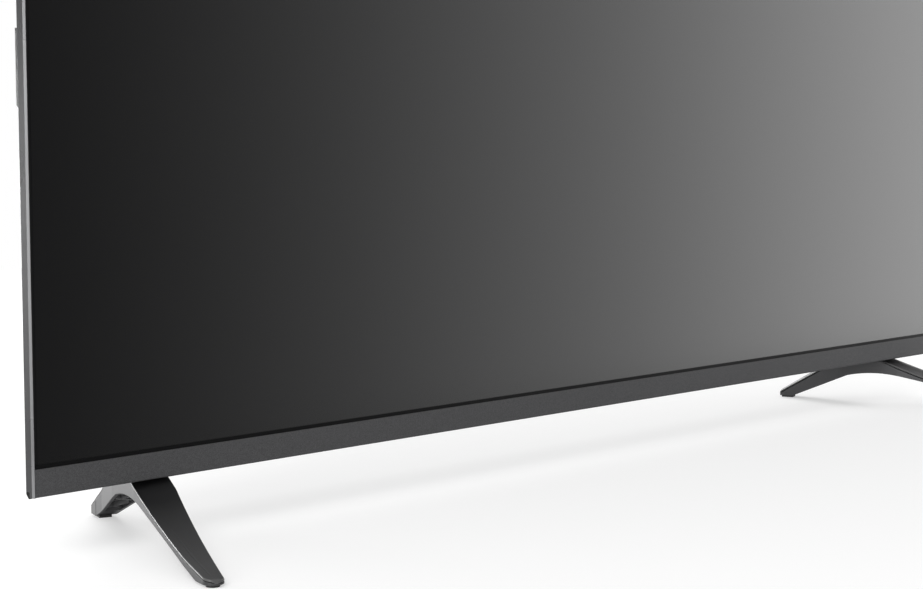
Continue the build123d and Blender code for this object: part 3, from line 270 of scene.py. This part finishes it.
# Heights along the crown line, and how far the top falls outward of the crease
crown_reach = 15 * MM
crown_length = 37 * MM
front_top = 4.8 * MM
middle_share = 0.471
middle_top = 18.1 * MM
back_top = 6.3 * MM
crease = 4 * MM
crown_curve = 13.2
facet_fall = 0.05
fade_middle, fade_crown, fade_back = 0.8, 0.2, 0.75
# The shell's walls, rounded edges and the groove along its outer edge
shell_thick = 1.25 * MM
back_thick = 1.0 * MM
edge_round = 0.9 * MM
tip_round = 2.6 * MM
tip_share = 0.5
lowest_rim = 1.75 * MM
rim_thick = 0.3 * MM
groove_inset = 5 * MM
groove_deep = 0.16 * MM
groove_wide = 0.4 * MM
groove_start = 55 * MM
groove_end = 75 * MM
station_count = 190
across_count = 80
sharp_angle = math.radians(50)

foot_low, foot_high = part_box("foot_left")
front_toe = Vector((foot_low.x + front_radius, foot_low.y + front_radius))
back_toe = Vector((foot_high.x - back_reach, foot_high.y - back_reach))
along = (back_toe - front_toe).normalized()
outside = Vector((-along.y, along.x))
span = (back_toe - front_toe).length
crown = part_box("foot_cover_left")[1].z
neck = (bezel_front - front_toe.y) / along.y
crown_start = neck + crown_reach
crown_end = crown_start + crown_length
tip_start = -front_radius
tip_end = span + back_half
heel = crown_end + (span - crown_end) * heel_share
outer_outline = [(neck * share, half * MM) for share, half in outer_neck]
outer_outline += [(crown_end, outer_back), (heel, outer_heel), (span, back_half)]
inner_outline = [(0, front_radius), (neck, hip), (crown_end, hip_back), (span, back_half)]


def between(s, places, values):
    return float(np.interp(s, places, values))


# Height at x of the arc through three points
def arc_height(a, b, c, x):
    (x1, y1), (x2, y2), (x3, y3) = a, b, c
    d = 2 * (x1 * (y2 - y3) + x2 * (y3 - y1) + x3 * (y1 - y2))
    s1, s2, s3 = x1 * x1 + y1 * y1, x2 * x2 + y2 * y2, x3 * x3 + y3 * y3
    cx = (s1 * (y2 - y3) + s2 * (y3 - y1) + s3 * (y1 - y2)) / d
    cy = (s1 * (x3 - x2) + s2 * (x1 - x3) + s3 * (x2 - x1)) / d
    side = 1 if y2 > cy else -1
    return cy + side * math.sqrt(max(0, (x1 - cx) ** 2 + (y1 - cy) ** 2 - (x - cx) ** 2))


def rounded_end(reach, radius):
    return radius - math.sqrt(max(0, radius ** 2 - max(0, radius - reach) ** 2))


def half_width(s, outline):
    if s < 0:
        return math.sqrt(max(0, front_radius ** 2 - s * s))
    if s > span:
        return back_half - rounded_end(tip_end - s, back_rounding)
    return between(s, *zip(*outline))


# Height of the top face at s along the foot and t outward of its line
def top_face(s, t):
    fall = crown_curve * max(0, crease - t) ** 2
    if s < crown_start:
        middle = neck * middle_share
        fade = between(s, (tip_start, middle, crown_start), (1, fade_middle, fade_crown))
        z = arc_height((tip_start, front_top), (middle, middle_top), (crown_start, crown), s)
    else:
        fade = between(s, (crown_start, crown_end, tip_end), (fade_crown, fade_back, 1))
        z = between(s, (crown_start, crown_end, tip_end), (crown, crown, back_top))
    return z - fade * fall - facet_fall * max(0, t - crease)


def upper_height(s, t, inner, outer):
    deep = groove_deep * between(s, (groove_start, groove_end), (1, 0))
    z = top_face(s, t) - deep * math.exp(-((t - outer + groove_inset) / groove_wide) ** 2)
    z -= rounded_end(min(t + inner, outer - t), edge_round)
    z -= rounded_end(s - tip_start, tip_round) * tip_share
    z -= rounded_end(tip_end - s, edge_round)
    return max(z, lowest_rim + rim_thick)


def lower_height(s, t):
    return max(top_face(s, t) - between(s, (crown_start, crown_end), (shell_thick, back_thick)), lowest_rim)


# Places that lie closer together towards both ends
def eased(count):
    return [(1 - math.cos(math.pi * index / (count - 1))) / 2 for index in range(count)]


# One loop round the shell: its top face outward, then its underside back
def shell_loop(s, side):
    outer = max(half_width(s, outer_outline), least_half)
    inner = max(half_width(s, inner_outline), least_half)
    offsets = [-inner + share * (inner + outer) for share in eased(across_count)]
    ring = [(t, upper_height(s, t, inner, outer)) for t in offsets]
    ring += [(t, lower_height(s, t)) for t in reversed(offsets)]
    places = [(front_toe + along * s + outside * t, z) for t, z in ring]
    return [(side * place.x, place.y, z) for place, z in places]


def mesh_object(name, verts, faces):
    mesh = bpy.data.meshes.new(name)
    mesh.from_pydata(verts, [], faces)
    mesh.update()
    obj = bpy.data.objects.new(name, mesh)
    bpy.context.scene.collection.objects.link(obj)
    return obj


def foot_shell(name, side):
    verts = []
    for share in eased(station_count):
        verts += shell_loop(tip_start + (tip_end - tip_start) * share, side)
    loop = 2 * across_count
    faces = []
    for start in range(0, (station_count - 1) * loop, loop):
        for j in range(loop):
            a, b = start + j, start + (j + 1) % loop
            face = (a, b, b + loop, a + loop)
            faces.append(face if side < 0 else face[::-1])
    faces.append(tuple(range(loop))[::side])
    faces.append(tuple(range(len(verts) - loop, len(verts)))[::-side])
    obj = mesh_object(name, verts, faces)
    for polygon in obj.data.polygons:
        polygon.use_smooth = True
    obj.data.set_sharp_from_angle(angle=sharp_angle)
    dress(obj, "foot_cover_plastic")
    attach(obj, "television")
    return obj


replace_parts(foot_shell("foot_shell_left", 1), "foot_cover_left")
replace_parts(foot_shell("foot_shell_right", -1), "foot_cover_right")


# Stage
def stage_sheet(name, corners, material):
    obj = mesh_object(name, corners, [tuple(range(len(corners)))])
    obj.data.materials.append(material)
    return obj


# Pale floor that catches the shadow and turns white far away, for camera rays alone
floor_reach = 9 * width
floor_colour = (0.9, 0.9, 0.9, 1)
floor_rough = 0.9
floor_share = 0.38
floor_glow = 1.25
far_start = 1.0 * width
far_end = 2.0 * width


def floor_material():
    made, tree, shader = new_material("floor")
    shader.inputs["Base Color"].default_value = floor_colour
    shader.inputs["Roughness"].default_value = floor_rough
    shader.inputs["Specular IOR Level"].default_value = 0.0
    away = add(tree, "ShaderNodeVectorMath", operation="LENGTH")
    tree.links.new(place_on(tree), away.inputs[0])
    distance = away.outputs["Value"]
    glow = add(tree, "ShaderNodeEmission")
    tree.links.new(spread(tree, distance, floor_glow, 1.0, far_start, far_end), glow.inputs["Strength"])
    seen = add(tree, "ShaderNodeLightPath").outputs["Is Camera Ray"]
    far = spread(tree, distance, floor_share, 1.0, far_start, far_end)
    mix = add(tree, "ShaderNodeMixShader")
    tree.links.new(maths(tree, "MULTIPLY", seen, far), mix.inputs["Fac"])
    tree.links.new(shader.outputs["BSDF"], mix.inputs[1])
    tree.links.new(glow.outputs["Emission"], mix.inputs[2])
    tree.links.new(mix.outputs["Shader"], tree.nodes["Material Output"].inputs["Surface"])
    return made


floor_corners = [(side * floor_reach, way * floor_reach, start_low.z)
                 for side, way in ((-1, -1), (1, -1), (1, 1), (-1, 1))]
stage_sheet("floor", floor_corners, floor_material())

# Upright sheet in front of the set that shows only in its gloss: brightness by place along X in metres
field_stops = ((-0.394, 0.17), (-0.30, 0.33), (-0.16, 0.70), (0.0, 1.26), (0.16, 1.85), (0.40, 2.85),
               (0.65, 3.7))
field_gap = 25 * MM
field_y = start_low.y - field_gap
field_top = 1.2 * height
field_left = -0.9 * width
field_right = 1.4 * width
field_dim = 0.1
dim_start = 6 * MM
dim_end = 20 * MM


def field_brightness(tree, along_x):
    first, last = field_stops[0][0], field_stops[-1][0]
    peak = field_stops[-1][1]
    curve = add(tree, "ShaderNodeFloatCurve")
    points = curve.mapping.curves[0].points
    shares = [((x - first) / (last - first), value / peak) for x, value in field_stops]
    points[0].location = shares[0]
    points[1].location = shares[-1]
    for share in shares[1:-1]:
        points.new(*share)
    curve.mapping.update()
    tree.links.new(spread(tree, along_x, 0, 1, first, last), curve.inputs["Value"])
    level = add(tree, "ShaderNodeMath", operation="MULTIPLY")
    level.inputs[1].default_value = peak
    tree.links.new(curve.outputs["Value"], level.inputs[0])
    return level.outputs["Value"]


def field_material():
    made, tree, shader = new_material("field")
    tree.nodes.remove(shader)
    axes = axes_on(tree)
    lower = spread(tree, axes["Z"], field_dim, 1.0, dim_start, dim_end)
    glow = add(tree, "ShaderNodeEmission")
    brightness = maths(tree, "MULTIPLY", field_brightness(tree, axes["X"]), lower)
    tree.links.new(brightness, glow.inputs["Strength"])
    tree.links.new(glow.outputs["Emission"], tree.nodes["Material Output"].inputs["Surface"])
    return made


field_corners = [(field_left, field_y, start_low.z), (field_right, field_y, start_low.z),
                 (field_right, field_y, field_top), (field_left, field_y, field_top)]
field = stage_sheet("glossy_field", field_corners, field_material())
field.visible_camera = False
field.visible_diffuse = False
field.visible_transmission = False
field.visible_volume_scatter = False
field.visible_shadow = False


# Soft lights, all out of the camera's sight
def softbox(name, place, target, sides, watts):
    light = bpy.data.lights.new(name, "AREA")
    light.shape = "RECTANGLE"
    light.size, light.size_y = sides
    light.energy = watts
    obj = bpy.data.objects.new(name, light)
    bpy.context.scene.collection.objects.link(obj)
    obj.location = place
    obj.rotation_euler = (Vector(target) - Vector(place)).to_track_quat("-Z", "Y").to_euler()
    obj.visible_camera = False


screen_centre = (0, 0, height / 2)
floor_centre = (0, 0, 0)
low_corner = (-width / 2, 0, 0.03)
foot_mark = (-0.9 * width / 2, 0, 0.02)
# Each softbox: where it stands, what it looks at, its two sides and its watts
softboxes = {
    "key_left": ((-2.6, -1.4, 2.2), screen_centre, (1.8, 1.8), 55),
    "card_left": ((-2.3, -0.9, 0.3), low_corner, (0.8, 0.4), 12),
    "low_back": ((-0.75, 1.95, 0.12), foot_mark, (0.7, 0.2), 24),
    "back_right": ((1.4, 2.6, 1.8), floor_centre, (2.0, 1.4), 60),
}
for box_name, settings in softboxes.items():
    softbox(box_name, *settings)

# World: white behind the set and in its gloss, softer as light on it
ambient = 0.7
seen_white = 1.0
world = bpy.data.worlds.new("world")
bpy.context.scene.world = world
world.use_nodes = True
air = world.node_tree
rays = add(air, "ShaderNodeLightPath").outputs
seen_or_gloss = maths(air, "MAXIMUM", rays["Is Camera Ray"], rays["Is Glossy Ray"])
plainly_seen = maths(air, "MAXIMUM", seen_or_gloss, rays["Is Transmission Ray"])
sky = air.nodes["Background"]
sky.inputs["Color"].default_value = (1, 1, 1, 1)
air.links.new(spread(air, plainly_seen, ambient, seen_white, 0, 1), sky.inputs["Strength"])

# Camera, worked out from the photograph's perspective
image_width = 923
focal_pixels = 2000
sensor_width = 36
nearest = 0.01
camera_yaw = math.radians(45.403)
camera_pitch = math.radians(5.349)
camera_place = (-1.0963, -0.93735, 0.257)
lens = bpy.data.cameras.new("camera")
lens.sensor_width = sensor_width
lens.lens = focal_pixels / image_width * sensor_width
lens.clip_start = nearest
camera = bpy.data.objects.new("camera", lens)
bpy.context.scene.collection.objects.link(camera)
camera.location = camera_place
camera.rotation_euler = (math.pi / 2 - camera_pitch, 0, -camera_yaw)
bpy.context.scene.camera = camera
bpy.context.scene.view_settings.view_transform = "Standard"
